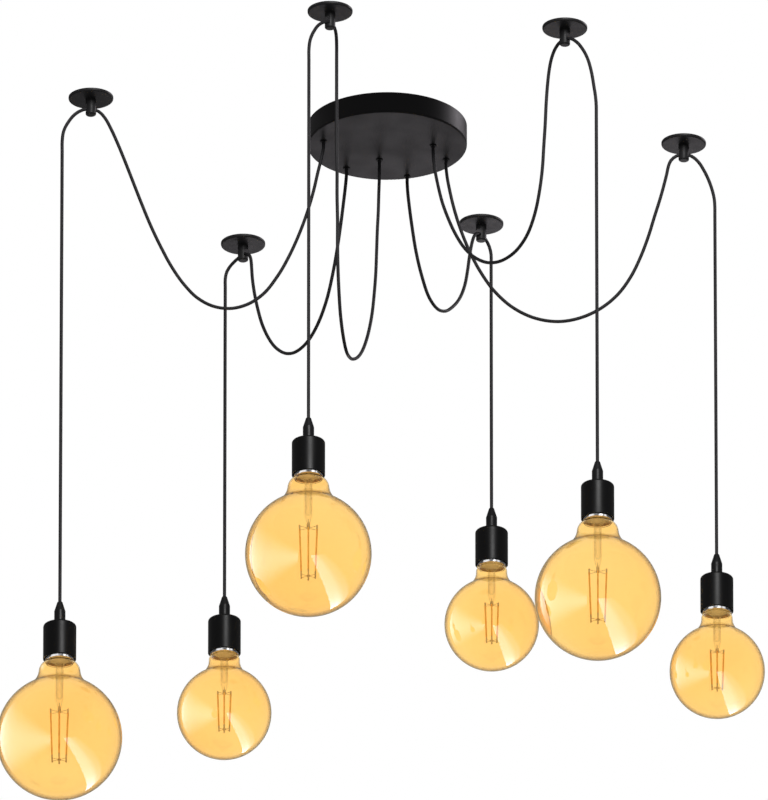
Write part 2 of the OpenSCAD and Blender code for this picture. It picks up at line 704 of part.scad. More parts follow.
// Glass stem and centre wire, with a cage of filament sticks held by spokes
module bulb_filament(i) {
    share = GLOBES[i - 1][0] / LARGE[0];
    cage_top = 28 * share;
    cage_foot = -24 * share;
    cage_top_r = 10 * share;
    cage_foot_r = 8 * share;
    stem_foot = 37.7 * share;
    lean = [cage_top_r - cage_foot_r, cage_top - cage_foot] / (cage_top - cage_foot);
    stub = 1.5;
    color(filament_orange) at_holder(i) translate([0, 0, globe_z(i)]) {
        rotate_extrude() stem_section(collar_top - globe_z(i), stem_foot, [cage_top, cage_foot]);
        for (k = [0 : stick_count - 1]) rotate([0, 0, 360 * (k + 0.5) / stick_count]) {
            for (end = [[cage_top_r, cage_top], [cage_foot_r, cage_foot]]) {
                translate([0, 0, end[1]]) rotate([0, 90, 0]) cylinder(d = wire_d, h = end[0]);
            }
            translate([cage_foot_r - stub * lean[0], 0, cage_foot - stub]) rotate([0, atan(lean[0]), 0])
                cylinder(d = stick_d, h = (cage_top - cage_foot) * norm(lean) + 2 * stub);
        }
    }
}

canopy_cup();
ceiling_bracket();
canopy_screws();
terminal_block();
cord_bushings();
ceiling_hooks();
for (i = LIGHTS) {
    swag_cord(i);
    drop_cord(i);
    cord_grip(i);
    lamp_holder(i);
    socket_core(i);
    socket_contacts(i);
    bulb_cap(i);
    bulb_globe(i);
    bulb_filament(i);
}
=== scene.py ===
"""Spider pendant light: a ceiling canopy, six flexes swagged over hooks, and six amber globe bulbs."""

import json
import math

import bmesh
import bpy
from mathutils import Matrix, Vector

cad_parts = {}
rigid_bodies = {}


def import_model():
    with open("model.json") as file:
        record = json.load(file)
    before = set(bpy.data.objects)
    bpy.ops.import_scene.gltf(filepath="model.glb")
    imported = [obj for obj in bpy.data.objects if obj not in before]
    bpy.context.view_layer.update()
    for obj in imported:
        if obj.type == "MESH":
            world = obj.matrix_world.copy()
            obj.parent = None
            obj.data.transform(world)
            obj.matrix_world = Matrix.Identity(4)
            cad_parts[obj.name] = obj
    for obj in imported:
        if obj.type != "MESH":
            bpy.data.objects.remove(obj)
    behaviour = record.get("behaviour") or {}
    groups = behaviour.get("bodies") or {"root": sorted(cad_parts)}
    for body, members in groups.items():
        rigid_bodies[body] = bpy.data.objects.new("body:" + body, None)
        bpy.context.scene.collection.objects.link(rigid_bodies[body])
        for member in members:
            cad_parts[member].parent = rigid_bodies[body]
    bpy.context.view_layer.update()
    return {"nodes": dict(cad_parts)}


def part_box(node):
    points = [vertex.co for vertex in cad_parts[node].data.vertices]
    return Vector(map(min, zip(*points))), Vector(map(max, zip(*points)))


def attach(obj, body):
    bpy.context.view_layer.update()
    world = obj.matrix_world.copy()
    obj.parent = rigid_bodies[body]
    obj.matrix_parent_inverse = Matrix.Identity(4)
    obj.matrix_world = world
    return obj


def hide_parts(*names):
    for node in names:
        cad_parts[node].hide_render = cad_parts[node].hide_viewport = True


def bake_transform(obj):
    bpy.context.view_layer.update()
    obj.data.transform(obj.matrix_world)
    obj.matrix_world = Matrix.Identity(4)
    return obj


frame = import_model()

MM = 0.001
LIGHTS = range(1, 7)


# Camera: looks up from the front through a long lens, one millimetre to a pixel

PHOTO_H = 800
CAMERA_PITCH = math.radians(25)
CAMERA_DISTANCE = 30
CAMERA_RANGE = 90
SENSOR = 36
VIEW_CENTRE = Vector((-0.0033, 0, -0.3031))


def add_camera():
    data = bpy.data.cameras.new("camera")
    data.sensor_width = SENSOR
    data.lens = SENSOR * CAMERA_DISTANCE / (PHOTO_H * MM)
    data.clip_end = CAMERA_RANGE
    camera = bpy.data.objects.new("camera", data)
    forward = Vector((0, math.cos(CAMERA_PITCH), math.sin(CAMERA_PITCH)))
    camera.location = VIEW_CENTRE - CAMERA_DISTANCE * forward
    camera.rotation_euler = (math.pi / 2 + CAMERA_PITCH, 0, 0)
    bpy.context.scene.collection.objects.link(camera)
    bpy.context.scene.camera = camera


add_camera()


# Flex routes, in millimetres, as the CAD source has them

FLEX_D = 3.4
HOOKS = [[-297, -68, -13], [-146, 274, -13], [-57, -268, -13], [95, 227, -13], [177, -230, -13], [298, 38, -13]]
PIVOTS = [[-325.5, -75, -63], [-164, 288, -42], [-78, -285, -62], [105, 240, -38], [208, -249, -105], [329, 38, -80]]

# From the terminal block out through the canopy
CANOPY_RUNS = [
    [[-21, -7, -5], [-30, -7, -5], [-39, -8.7, -5], [-48, -10.4, -5], [-56, -11, -7.2], [-61.9, -11, -13],
     [-64, -11, -21], [-64, -11, -28]],
    [[-15, 9, -5], [-15, 17, -5], [-17, 25, -5], [-22, 33, -5], [-29.7, 40.7, -5], [-35.3, 46.3, -7.2],
     [-39.5, 50.5, -13], [-41, 52, -21], [-41, 52, -28]],
    [[-8, 9, -5], [-8, 16, -5], [-8, 24, -7.2], [-8, 29.9, -13], [-8, 32, -21], [-8, 32, -28]],
    [[8, 9, -5], [8, 20, -5], [9.5, 32, -5], [12.2, 44, -5], [15.7, 55.6, -5], [17.8, 63.3, -7.2],
     [19.4, 69, -13], [20, 71, -21], [20, 71, -28]],
    [[21, -1, -5], [30, -1, -5], [38, -1, -7.2], [43.9, -1, -13], [46, -1, -21], [46, -1, -28]],
    [[16, 9, -5], [16, 16.5, -5], [19.2, 23.5, -5], [25.5, 28.5, -5], [34, 31.2, -5], [43, 32, -5],
     [51, 32, -7.2], [56.9, 32, -13], [59, 32, -21], [59, 32, -28]],
]

# From the canopy up to the hook
SWAGS = [
    [[-66, -11.5, -40], [-69.5, -12, -56], [-74, -13, -78], [-79.5, -15, -100], [-87, -17, -124], [-97, -19, -150],
     [-110, -22.5, -177], [-125, -26, -199], [-141, -30, -212], [-158, -34, -218], [-175, -38, -217],
     [-190, -42, -210], [-203, -45, -197], [-216, -48, -178], [-227, -51, -157], [-237, -53.5, -135],
     [-246, -55.5, -112], [-255, -58, -88], [-264, -60.5, -64], [-271.5, -62, -45], [-277.5, -63.5, -31.5],
     [-283, -65, -21.5], [-289, -66.4, -15.2]],
    [[-42, 54, -40], [-44, 58, -57], [-47, 65, -80], [-50.5, 72, -103], [-55, 82, -126], [-61, 95, -148],
     [-69, 111, -165], [-79, 132, -175], [-90, 155, -176], [-101, 179, -168], [-111, 200, -153], [-119, 218, -134],
     [-126, 231, -112], [-131, 242, -88], [-134.5, 250, -66], [-136.5, 256, -47], [-137.2, 259.3, -35],
     [-137.8, 261, -26], [-138.9, 263.3, -19.8], [-141.8, 268.1, -14.8]],
    [[-8, 31, -42], [-8.5, 29, -60], [-9, 27, -81], [-10, 23, -105], [-10.7, 18, -130], [-11.5, 11, -157],
     [-13, 1, -184], [-15, -11, -211], [-18, -29, -238], [-22, -52, -265], [-27, -82, -291], [-32.5, -114, -311],
     [-37, -142, -323], [-41, -168, -327], [-44, -188, -320], [-46.5, -203, -305], [-48, -213, -285],
     [-49, -219, -262], [-49.5, -222, -237], [-49.5, -223, -210], [-50, -225, -183], [-50, -226, -156],
     [-50.5, -227, -130], [-50.5, -228, -105], [-50.5, -228, -82], [-50.5, -229, -62], [-50.5, -230, -47],
     [-50.5, -232.5, -34], [-50.5, -237, -24], [-50.8, -244, -17.5], [-51.7, -252, -14.5], [-53.6, -260.5, -13.3]],
    [[20.5, 72, -38], [22, 75, -52], [25, 81, -74], [29, 90, -97], [35, 102, -119], [42, 117, -134.5],
     [50, 134, -139], [58, 151, -134], [66, 167, -121.5], [73.5, 182, -104], [78.5, 193, -84], [81.2, 199, -65],
     [83, 202.5, -49], [84.8, 205.8, -36], [86.5, 209.5, -26.5], [88.6, 214.2, -19], [91.5, 220.5, -14.5]],
    [[46.5, -2, -38], [48, -5, -52], [51, -10, -71], [55, -17, -92], [61, -27, -115], [68.5, -40, -139],
     [78, -57, -163], [90, -78, -184], [103, -101, -199], [117, -125, -206.5], [130, -147, -205.5],
     [140, -165, -197], [147, -177.5, -181], [151.5, -186, -161], [154.5, -191, -138], [156, -194, -114],
     [157.5, -196, -90], [158.5, -198, -68], [159.7, -200, -51], [161.2, -203, -37], [163.2, -207.5, -26.5],
     [166.5, -214, -18.5], [171.2, -222.5, -14.3]],
    [[60, 32, -40], [62.5, 32, -55], [67, 32, -76], [73.5, 32, -99], [82, 32.5, -122], [93, 33, -145],
     [108, 33, -168], [127, 33.5, -186], [149, 34, -197], [172, 35, -200], [194, 35.5, -195.5], [214, 36, -185],
     [231, 36.5, -169.5], [244, 37, -150], [254, 37, -128], [262, 37, -105], [268.5, 37, -82], [274.5, 37.5, -61],
     [278.5, 38, -45], [281, 38, -34], [282.6, 38, -26], [285.1, 38, -19.8], [290.7, 38, -14.8]],
]

# From the hook down to just above the pivot
TURNS_DOWN = [
    [[-305, -70, -15], [-312.8, -72, -20.8], [-319, -73.5, -29.5], [-324, -74.7, -40.5], [-325.5, -75, -52]],
    [[-151, 279.7, -14.5], [-157.3, 284.8, -18.6], [-162.3, 287.3, -25.5], [-164, 288, -33.5]],
    [[-61.8, -274, -15.2], [-67.8, -278.5, -20.5], [-73, -282, -29.5], [-76.7, -284.3, -40], [-78, -285, -51]],
    [[99.4, 233.4, -15.1], [103.1, 238, -20.9], [105, 240, -29]],
    [[183, -234.7, -15], [188.8, -238.2, -20.5], [194.2, -241.2, -29], [199.3, -244.2, -41], [203, -246.5, -56],
     [205.7, -248, -74], [207.5, -248.8, -88], [208, -249, -97]],
    [[305.8, 38, -15], [312.4, 38, -21], [317.8, 38, -30], [322.7, 38, -41], [326.5, 38, -53], [328.5, 38, -63],
     [329, 38, -71]],
]


def metres(points):
    return [Vector(p) * MM for p in points]


def offset(x, y, z):
    """A vector given in millimetres."""
    return MM * Vector((x, y, z))


def pivot_of(i):
    """Point that pendant i swings about."""
    return Vector(PIVOTS[i - 1]) * MM


def route_heading(points, k):
    """Unit tangent at point k, of the circle through it and its neighbours."""
    if k == 0:
        return (points[1] - points[0]).normalized()
    if k == len(points) - 1:
        return (points[k] - points[k - 1]).normalized()
    back, ahead = points[k] - points[k - 1], points[k + 1] - points[k]
    return (back / back.length_squared + ahead / ahead.length_squared).normalized()


def curve_point(a, u, b, v, t):
    """Point at share t of the smooth curve from a to b that leaves along u and arrives along v."""
    span = (b - a).length
    ends = a * ((1 + 2 * t) * (1 - t) ** 2) + b * ((3 - 2 * t) * t * t)
    return ends + u * (span * t * (1 - t) ** 2) - v * (span * (1 - t) * t * t)


def smooth_centres(points, step):
    """A smooth curve through the points, in steps of about the given length."""
    centres = []
    for k in range(len(points) - 1):
        u, v = route_heading(points, k), route_heading(points, k + 1)
        count = max(1, round((points[k + 1] - points[k]).length / step))
        centres += [curve_point(points[k], u, points[k + 1], v, j / count) for j in range(count)]
    return centres + [points[-1]]


# Shapes: arcs, turned profiles and tubes

TAU = 2 * math.pi
SHARP = math.radians(35)
OFF_AXIS = Vector((0.3, 0.2, 1))  # no tube starts in this direction


def arc(cx, cy, radius, begin, end, count):
    """Points along a circle's arc, both ends included."""
    angles = [begin + (end - begin) * k / count for k in range(count + 1)]
    return [(cx + radius * math.cos(a), cy + radius * math.sin(a)) for a in angles]


def steps(begin, end, pitch):
    """Even steps from begin to end, about one pitch apart."""
    count = max(1, round(abs(end - begin) / pitch))
    return [begin + (end - begin) * k / count for k in range(count + 1)]


def join_rings(bm, low, high):
    """Faces between two rings of vertices; a ring of one vertex is a pole."""
    count = max(len(low), len(high))
    for j in range(count):
        n = (j + 1) % count
        corners = [low[j % len(low)], low[n % len(low)], high[n % len(high)], high[j % len(high)]]
        bm.faces.new(list(dict.fromkeys(corners)))


def ring_into(bm, at, r, z, segments, wave):
    """Vertices of one ring of a turned profile, or of its pole where r is zero."""
    if r == 0:
        return [bm.verts.new(at + offset(0, 0, z))]
    ring = []
    for j in range(segments):
        a = TAU * j / segments
        reach = r + (wave(z, a) if wave else 0)
        ring.append(bm.verts.new(at + offset(reach * math.cos(a), reach * math.sin(a), z)))
    return ring


def revolve_into(bm, profile, at, segments, wave=None):
    """Turns (radius, height) points, in millimetres, about the vertical line through at.
    wave(height, angle) is added to the radius, for threads and crimps."""
    rings = [ring_into(bm, at, r, z, segments, wave) for r, z in profile]
    for low, high in zip(rings, rings[1:]):
        if len(low) + len(high) > 2:
            join_rings(bm, low, high)


def new_object(name, bm, material):
    """Turns a bmesh into a linked object with one material, smooth but for its sharp edges."""
    mesh = bpy.data.meshes.new(name)
    bmesh.ops.recalc_face_normals(bm, faces=bm.faces)
    bm.to_mesh(mesh)
    bm.free()
    mesh.materials.append(material)
    mesh.shade_smooth()
    mesh.set_sharp_from_angle(angle=SHARP)
    obj = bpy.data.objects.new(name, mesh)
    bpy.context.scene.collection.objects.link(obj)
    return obj


def turned(name, profile, at, material, segments, wave=None):
    """An object that is one turned profile."""
    bm = bmesh.new()
    revolve_into(bm, profile, at, segments, wave)
    return new_object(name, bm, material)


def tube_rings(centres, radius, sides):
    """Rings of points round a list of centres, the side direction carried along without twist."""
    side = route_heading(centres, 0).cross(OFF_AXIS).normalized()
    angles = [TAU * j / sides for j in range(sides)]
    rings = []
    for k, centre in enumerate(centres):
        along = route_heading(centres, k)
        side = (side - along * side.dot(along)).normalized()
        across = along.cross(side)
        rings.append([centre + radius * (math.cos(a) * side + math.sin(a) * across) for a in angles])
    return rings


def tube_into(bm, rings):
    """A tube through rings of points, closed at both ends."""
    verts = [[bm.verts.new(p) for p in ring] for ring in rings]
    for low, high in zip(verts, verts[1:]):
        join_rings(bm, low, high)
    bm.faces.new(verts[0][::-1])
    bm.faces.new(verts[-1])


def wire_into(bm, points, diameter, sides=8):
    tube_into(bm, tube_rings(points, MM * diameter / 2, sides))


# Materials: noise in the object's own space varies their colour and gloss

NOISE_TO_GLOSS = (0.3, 0.7)
NOISE_TO_COLOUR = (0.35, 0.65)


def new_material(name, **values):
    """A Principled material whose uniform values sit on the shader's own sockets."""
    material = bpy.data.materials.new(name)
    material.use_nodes = True
    shader = material.node_tree.nodes["Principled BSDF"]
    for key, value in values.items():
        shader.inputs[key.replace("_", " ")].default_value = value
    return material


def feed(material, output, socket):
    """Drives one socket of the material's shader."""
    tree = material.node_tree
    tree.links.new(output, tree.nodes["Principled BSDF"].inputs[socket])


def noise(material, scale, detail=4.0, stretch=(1, 1, 1)):
    nodes, links = material.node_tree.nodes, material.node_tree.links
    place = nodes.new("ShaderNodeTexCoord")
    mapping = nodes.new("ShaderNodeMapping")
    mapping.inputs["Scale"].default_value = stretch
    texture = nodes.new("ShaderNodeTexNoise")
    texture.inputs["Scale"].default_value = scale
    texture.inputs["Detail"].default_value = detail
    links.new(place.outputs["Object"], mapping.inputs["Vector"])
    links.new(mapping.outputs["Vector"], texture.inputs["Vector"])
    return texture.outputs["Fac"]


def rescale(material, value, source, target=(0.0, 1.0)):
    """Maps a value from the source range to the target range, and holds it there beyond the ends."""
    tree = material.node_tree
    node = tree.nodes.new("ShaderNodeMapRange")
    node.inputs["From Min"].default_value, node.inputs["From Max"].default_value = source
    node.inputs["To Min"].default_value, node.inputs["To Max"].default_value = target
    tree.links.new(value, node.inputs["Value"])
    return node.outputs["Result"]


def edge_on(material, blend):
    """Grows from the middle of a round shape to its edges."""
    weight = material.node_tree.nodes.new("ShaderNodeLayerWeight")
    weight.inputs["Blend"].default_value = blend
    return weight.outputs["Facing"]


def colour_between(material, fac, dark, light):
    tree = material.node_tree
    ramp = tree.nodes.new("ShaderNodeValToRGB")
    for element, position, colour in zip(ramp.color_ramp.elements, NOISE_TO_COLOUR, (dark, light)):
        element.position = position
        element.color = (*colour, 1)
    tree.links.new(fac, ramp.inputs["Fac"])
    return ramp.outputs["Color"]


def vary_colour(material, fac, dark, light):
    feed(material, colour_between(material, fac, dark, light), "Base Color")


def vary_roughness(material, fac, roughness):
    feed(material, rescale(material, fac, NOISE_TO_GLOSS, roughness), "Roughness")


def add_bump(material, fac, strength, distance):
    tree = material.node_tree
    bump = tree.nodes.new("ShaderNodeBump")
    bump.inputs["Strength"].default_value = strength
    bump.inputs["Distance"].default_value = distance
    tree.links.new(fac, bump.inputs["Height"])
    feed(material, bump.outputs["Normal"], "Normal")


def powder_coat(name, colour, roughness):
    """Satin black paint: a fine orange-peel bump and slightly uneven gloss."""
    material = new_material(name, Specular_IOR_Level=0.4)
    fine = noise(material, scale=900)
    vary_roughness(material, noise(material, scale=30), roughness)
    vary_colour(material, fine, [0.8 * c for c in colour], [1.2 * c for c in colour])
    add_bump(material, fine, strength=0.08, distance=0.0002)
    return material


def metal(name, dark, light, roughness, stretch=(1, 1, 1)):
    """Bare metal with a fine grain, drawn out where a stretch is given."""
    material = new_material(name, Metallic=1.0)
    grain = noise(material, scale=400, stretch=stretch)
    vary_roughness(material, grain, roughness)
    vary_colour(material, noise(material, scale=60), dark, light)
    add_bump(material, grain, strength=0.05, distance=0.0001)
    return material


def moulded(name, dark, light, roughness, specular=0.5):
    """Moulded or cast stuff, a little uneven in shade and gloss."""
    material = new_material(name, Specular_IOR_Level=specular)
    vary_roughness(material, noise(material, scale=120), roughness)
    vary_colour(material, noise(material, scale=25), dark, light)
    add_bump(material, noise(material, scale=700), strength=0.06, distance=0.0001)
    return material


def smooth_sheath(name, dark, light, roughness):
    """Plain extruded PVC, a little uneven in shade and gloss along its length."""
    material = new_material(name, Specular_IOR_Level=0.3)
    vary_roughness(material, noise(material, scale=40), roughness)
    vary_colour(material, noise(material, scale=18), dark, light)
    return material


def tinted_glass(name, dark, light, edge_colour, edge_span):
    """Clear glass with an uneven sprayed tint that looks deeper where it is seen edge on."""
    material = new_material(name, Transmission_Weight=1.0, IOR=1.45, Roughness=0.0)
    tree = material.node_tree
    tint = colour_between(material, noise(material, scale=9, detail=1.0), dark, light)
    edge = rescale(material, edge_on(material, blend=0.3), edge_span)
    deeper = tree.nodes.new("ShaderNodeMix")
    deeper.data_type = "RGBA"
    deeper.inputs["B"].default_value = (*edge_colour, 1)
    tree.links.new(edge, deeper.inputs["Factor"])
    tree.links.new(tint, deeper.inputs["A"])
    feed(material, deeper.outputs["Result"], "Base Color")
    return material


def drawn_glass(name, colour, opacity):
    """Thin clear tube: almost unseen face on, and darker towards its edges."""
    material = new_material(name, Roughness=0.08, Specular_IOR_Level=0.5)
    vary_colour(material, noise(material, scale=60), [0.9 * c for c in colour], colour)
    feed(material, rescale(material, edge_on(material, blend=0.5), (0.0, 1.0), opacity), "Alpha")
    return material


def coated_stick(name, dark, light):
    """Phosphor coat, faintly translucent."""
    material = new_material(name, Roughness=0.45, Subsurface_Weight=0.2)
    vary_colour(material, noise(material, scale=150), dark, light)
    return material


# Each material: its name, its darker and lighter shade (one colour for paint), and its least and most roughness
CANOPY_BLACK = powder_coat("canopy_paint", (0.0125, 0.011, 0.0128), (0.4, 0.5))
HOLDER_BLACK = powder_coat("holder_paint", (0.006, 0.006, 0.0065), (0.32, 0.42))
HOOK_BLACK = moulded("hook_plastic", (0.029, 0.028, 0.03), (0.036, 0.035, 0.037), (0.42, 0.5))
GRIP_BLACK = moulded("grip_plastic", (0.014, 0.014, 0.015), (0.02, 0.02, 0.022), (0.34, 0.44))
BUSHING_BLACK = moulded("bushing_plastic", (0.012, 0.012, 0.013), (0.018, 0.018, 0.019), (0.5, 0.6))
FLEX_BLACK = smooth_sheath("flex_sheath", (0.045, 0.043, 0.047), (0.055, 0.053, 0.057), (0.46, 0.54))
SCREW_BLACK = metal("screw_steel", (0.04, 0.04, 0.042), (0.07, 0.07, 0.072), (0.35, 0.5))
ZINC = metal("zinc_plate", (0.5, 0.51, 0.53), (0.68, 0.69, 0.7), (0.28, 0.42), stretch=(0.1, 1, 1))
BRASS = metal("contact_brass", (0.6, 0.46, 0.22), (0.78, 0.62, 0.34), (0.2, 0.35), stretch=(1, 1, 0.1))
NICKEL = metal("cap_nickel", (0.72, 0.72, 0.74), (0.86, 0.86, 0.87), (0.08, 0.2), stretch=(1, 1, 0.2))
WHITE_BLOCK = moulded("white_insulator", (0.72, 0.7, 0.64), (0.8, 0.78, 0.72), (0.2, 0.32))
VITRITE = moulded("cap_insulator", (0.01, 0.01, 0.012), (0.03, 0.02, 0.03), (0.08, 0.18))
SOLDER = metal("solder", (0.55, 0.55, 0.56), (0.75, 0.75, 0.76), (0.25, 0.4))
AMBER_GLASS = tinted_glass("amber_glass", (1.0, 0.745, 0.37), (1.0, 0.795, 0.43),
                           edge_colour=(0.4, 0.25, 0.09), edge_span=(0.44, 0.68))
STEM_GLASS = drawn_glass("stem_glass", (0.8, 0.7, 0.5), opacity=(0.03, 0.4))
CEMENT = moulded("basing_cement", (0.9, 0.88, 0.84), (0.97, 0.95, 0.92), (0.7, 0.85), specular=0.2)
WIRE = metal("support_wire", (0.42, 0.36, 0.3), (0.6, 0.54, 0.46), (0.25, 0.4))
FILAMENT = coated_stick("filament_coat", (0.85, 0.42, 0.1), (0.95, 0.58, 0.18))


# Flexes: from the terminal block over the hook, then from just above the swing's pivot down to the socket

FLEX_SIDES = 12
FLEX_STEP = 0.004


def flex_piece(name, rings, node):
    bm = bmesh.new()
    tube_into(bm, rings)
    piece = new_object(name, bm, FLEX_BLACK)
    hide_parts(node)
    return piece


def add_flex(i):
    """One unbroken tube, parted where it leaves the hook into an upper and a lower piece."""
    pivot = pivot_of(i)
    foot = Vector((pivot.x, pivot.y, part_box(f"drop_cord_{i}")[0].z))
    fixed = metres(CANOPY_RUNS[i - 1] + SWAGS[i - 1] + [HOOKS[i - 1]] + TURNS_DOWN[i - 1])
    centres = smooth_centres(fixed + [pivot, pivot.lerp(foot, 0.5), foot], FLEX_STEP)
    rings = tube_rings(centres, FLEX_D * MM / 2, FLEX_SIDES)
    seam = min(range(len(centres)), key=lambda k: (centres[k] - fixed[-1]).length)
    swag = flex_piece(f"swag_flex_{i}", rings[:seam + 1], f"swag_cord_{i}")
    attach(swag, "ceiling_set")
    drop = flex_piece(f"drop_flex_{i}", rings[seam:], f"drop_cord_{i}")
    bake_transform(drop)


for i in LIGHTS:
    add_flex(i)


# Globes: heights are in millimetres above the rim of the lamp holder, or above the globe's centre

COLLAR_R, COLLAR_TOP = 14.1, 0.3
GLASS_TIP = -4
GLASS_WALL = 0.9
GLOBE_STEPS, FLARE_STEPS, SHOULDER_STEPS = 48, 14, 10

# Each globe: radius, neck radius, shoulder height, flare radius, shoulder radius
LARGE = (62.5, 20.5, 71.5, 25, 11)
SMALL = (47.5, 15.6, 58, 20, 6)
GLOBES = [LARGE, SMALL, LARGE, SMALL, LARGE, SMALL]


def rim_of(i):
    """Middle of the rim of lamp holder i."""
    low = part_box(f"lamp_holder_{i}")[0]
    pivot = pivot_of(i)
    return Vector((pivot.x, pivot.y, low.z))


def arc_centres(globe):
    """Centres of the flare's and the shoulder's circles, each tangent to its neighbours."""
    radius, neck_r, neck_h, flare_r, shoulder_r = globe
    flare_x = neck_r + flare_r
    flare_y = math.sqrt((radius + flare_r) ** 2 - flare_x ** 2)
    shoulder_x = flare_x - math.sqrt((flare_r + shoulder_r) ** 2 - (flare_y - neck_h) ** 2)
    return flare_x, flare_y, shoulder_x


def centre_height(globe):
    """Height of the globe's centre above the rim."""
    _, _, neck_h, _, shoulder_r = globe
    shoulder_x = arc_centres(globe)[2]
    return GLASS_TIP - neck_h - math.sqrt(shoulder_r ** 2 - (COLLAR_R - shoulder_x) ** 2)


def globe_profile(globe, inset):
    """Half section from the lowest point up to the top of the collar, moved inward by inset."""
    radius, _, neck_h, flare_r, shoulder_r = globe
    flare_x, flare_y, shoulder_x = arc_centres(globe)
    flare_from = math.atan2(flare_y, flare_x)
    flare_to = math.atan2(neck_h - flare_y, shoulder_x - flare_x) % TAU
    shoulder_to = math.acos((COLLAR_R - inset - shoulder_x) / (shoulder_r - inset))
    profile = arc(0, 0, radius - inset, -TAU / 4, flare_from, GLOBE_STEPS)
    profile += arc(flare_x, flare_y, flare_r + inset, flare_from + TAU / 2, flare_to, FLARE_STEPS)[1:]
    profile += arc(shoulder_x, neck_h, shoulder_r - inset, flare_to - TAU / 2, shoulder_to, SHOULDER_STEPS)[1:]
    profile[0] = (0, -radius + inset)
    return profile + [(COLLAR_R - inset, COLLAR_TOP - centre_height(globe))]


def add_globe(i):
    globe = GLOBES[i - 1]
    at = rim_of(i) + offset(0, 0, centre_height(globe))
    outside, inside = globe_profile(globe, 0), globe_profile(globe, GLASS_WALL)
    piece = turned(f"globe_{i}", outside + inside[::-1], at, AMBER_GLASS, segments=96)
    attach(piece, f"glass_{i}")
    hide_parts(f"bulb_globe_{i}")


# Caps: profiles are (radius, height above the rim), in millimetres

CAP_FOOT, CAP_TIP, BARREL_TOP = -3.0, 24.2, 19.7
SKIRT_R, SKIRT_TOP, SKIRT_CHAMFER, SKIRT_ROUND = 14.8, 1.0, 0.25, 0.6
CAP_R, CAP_WALL = 13.2, 0.6
SKIRT_BORE = SKIRT_R - CAP_WALL
THREAD_PITCH, THREAD_DEPTH, THREAD_FADE = 3.629, 0.9, 2
CRIMP_COUNT, CRIMP_DEPTH, CRIMP_HEIGHT, CRIMP_SPREAD, CRIMP_POWER = 8, 0.35, 2, 0.7, 6
SKIRT_STEP, BARREL_STEP, ROUND_STEPS = 0.35, 0.3, 4
BUTTON_R, BUTTON_H = 4.5, 1.0

CONE_TOP = CAP_TIP - BUTTON_H
INSULATOR_PROFILE = [(0, BARREL_TOP - 1), (CAP_R - 1, BARREL_TOP - 1), (CAP_R - 0.3, BARREL_TOP),
                     (CAP_R - 1.6, BARREL_TOP + 0.9), (8.5, CONE_TOP - 0.9), (BUTTON_R + 0.4, CONE_TOP), (0, CONE_TOP)]
BUTTON_PROFILE = [(0, CONE_TOP - 0.3), (BUTTON_R, CONE_TOP - 0.3), (BUTTON_R, CONE_TOP + 0.3),
                  (BUTTON_R - 0.9, CAP_TIP - 0.1), (1.6, CAP_TIP - 0.25), (1.2, CAP_TIP), (0, CAP_TIP)]

# The cement lines the skirt and fills the cap above the glass collar
LINING_IN, LINING_OUT, LINING_FOOT = SKIRT_BORE - 0.05, SKIRT_BORE - 0.01, CAP_FOOT + 0.3
FILL_FOOT, FILL_LEDGE, FILL_TOP = COLLAR_TOP + 0.04, COLLAR_TOP + 0.08, COLLAR_TOP + 4
CEMENT_PROFILE = [(0, FILL_FOOT), (LINING_IN, FILL_FOOT), (LINING_IN, LINING_FOOT), (LINING_OUT, LINING_FOOT),
                  (LINING_OUT, FILL_LEDGE), (CAP_R - 0.8, FILL_LEDGE), (CAP_R - 1.6, FILL_TOP), (0, FILL_TOP)]


def thread(z, a, foot, top, depth):
    """Rounded screw thread that fades out at its foot and its top."""
    fade = min(1, max(0, (z - foot) / THREAD_FADE), max(0, (top - z) / THREAD_FADE))
    return -depth * fade * (0.5 - 0.5 * math.cos(TAU * z / THREAD_PITCH - a))


def crimps(z, a):
    """Shallow dimples pressed into the skirt."""
    around = max(0, math.cos(CRIMP_COUNT * a)) ** CRIMP_POWER
    return -CRIMP_DEPTH * around * math.exp(-((z - CAP_FOOT - CRIMP_HEIGHT) / CRIMP_SPREAD) ** 2)


def cap_wave(z, a):
    return crimps(z, a) if z < SKIRT_TOP else thread(z, a, SKIRT_TOP + 1, BARREL_TOP, THREAD_DEPTH)


def cap_profile():
    """Metal shell: down the inside of the skirt, round its edge, and up the outside to the top of the barrel."""
    profile = [(SKIRT_BORE, SKIRT_TOP - CAP_WALL), (SKIRT_BORE, CAP_FOOT + 0.2)]
    profile += [(SKIRT_R - SKIRT_CHAMFER, CAP_FOOT), (SKIRT_R, CAP_FOOT + SKIRT_CHAMFER)]
    profile += [(SKIRT_R, z) for z in steps(CAP_FOOT + 2 * SKIRT_CHAMFER, SKIRT_TOP - SKIRT_ROUND, SKIRT_STEP)]
    profile += arc(SKIRT_R - SKIRT_ROUND, SKIRT_TOP - SKIRT_ROUND, SKIRT_ROUND, 0, TAU / 4, ROUND_STEPS)[1:]
    return profile + [(CAP_R, z) for z in steps(SKIRT_TOP + 0.1, BARREL_TOP, BARREL_STEP)]


def add_cap(i):
    """Threaded shell, insulating cone, centre contact and cement."""
    at = rim_of(i)
    shell = turned(f"cap_shell_{i}", cap_profile(), at, NICKEL, segments=64, wave=cap_wave)
    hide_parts(f"bulb_cap_{i}")
    insulator = turned(f"cap_insulator_{i}", INSULATOR_PROFILE, at, VITRITE, segments=48)
    button = turned(f"cap_contact_{i}", BUTTON_PROFILE, at, SOLDER, segments=40)
    cement = turned(f"basing_cement_{i}", CEMENT_PROFILE, at, CEMENT, segments=40)
    for piece in (shell, insulator, button, cement):
        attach(piece, f"cap_{i}")


# Filament: glass stem with its flare, centre wire, spokes and coated sticks, above the globe's centre

